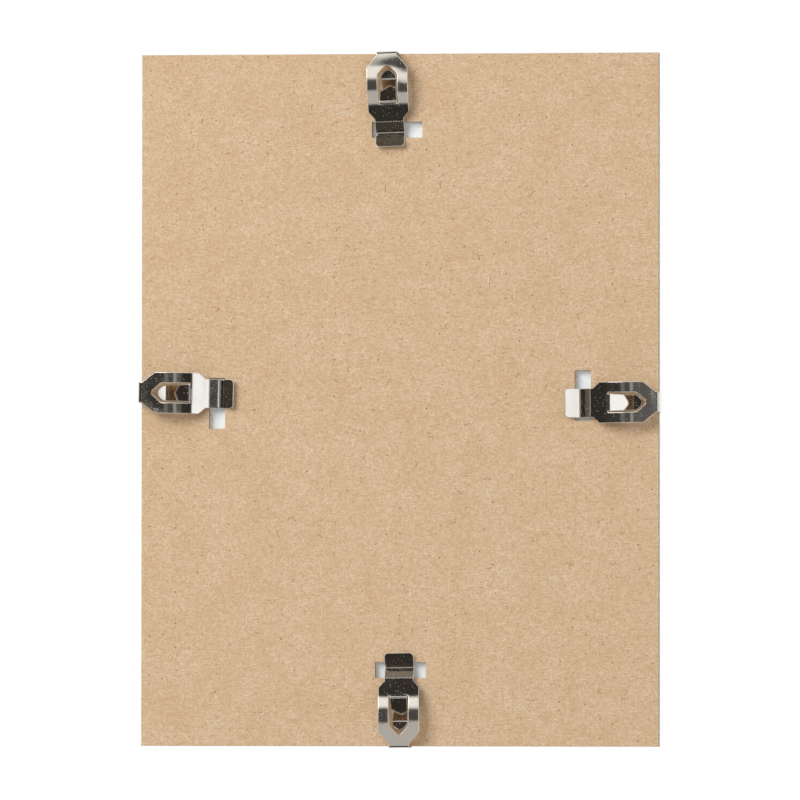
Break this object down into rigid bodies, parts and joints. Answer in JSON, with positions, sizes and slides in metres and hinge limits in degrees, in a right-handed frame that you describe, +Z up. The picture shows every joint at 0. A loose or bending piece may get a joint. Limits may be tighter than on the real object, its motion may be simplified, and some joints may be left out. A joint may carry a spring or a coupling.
{
  "type": "clip picture frame",
  "caption": "Frameless picture frame: glass pane, paper insert and fibreboard back held together by spring clips with hanging holes.",
  "frame": {"origin": "middle of the whole frame's box, upright as it hangs", "axes": "+Z up, the glass faces -Y and the back with its clips faces +Y; left and right are as seen from the back, so left is +X"},
  "size_m": [0.1812, 0.012, 0.2413],
  "materials": {
    "fibreboard": "raw medium-density fibreboard",
    "paper": "plain white paper",
    "glass": "clear float glass, seamed edges",
    "nickel": "bright nickel-plated spring steel"
  },
  "bodies": {
    "frame": {"backing_board": "fibreboard", "insert_sheet": "paper", "glass_pane": "glass"},
    "clip_top": {"clip_top": "nickel"},
    "clip_left": {"clip_left": "nickel"},
    "clip_bottom": {"clip_bottom": "nickel"},
    "clip_right": {"clip_right": "nickel"}
  },
  "joints": [
    {"name": "top_clip_swing", "type": "hinge", "parent": "frame", "child": "clip_top", "pos_m": [0.00411, -0.00562, 0.117], "axis": [0.9995, 0, -0.0314], "range_deg": [0, 35]},
    {"name": "left_clip_swing", "type": "hinge", "parent": "frame", "child": "clip_left", "pos_m": [0.087, -0.00562, 0.0025], "axis": [0.0175, 0, -0.9998], "range_deg": [0, 35]},
    {"name": "bottom_clip_swing", "type": "hinge", "parent": "frame", "child": "clip_bottom", "pos_m": [-0.00032, -0.00562, -0.117], "axis": [-0.9999, 0, 0.0131], "range_deg": [0, 35]},
    {"name": "right_clip_swing", "type": "hinge", "parent": "frame", "child": "clip_right", "pos_m": [-0.087, -0.00562, -0.00109], "axis": [0.0087, 0, 1], "range_deg": [0, 35]}
  ]
}
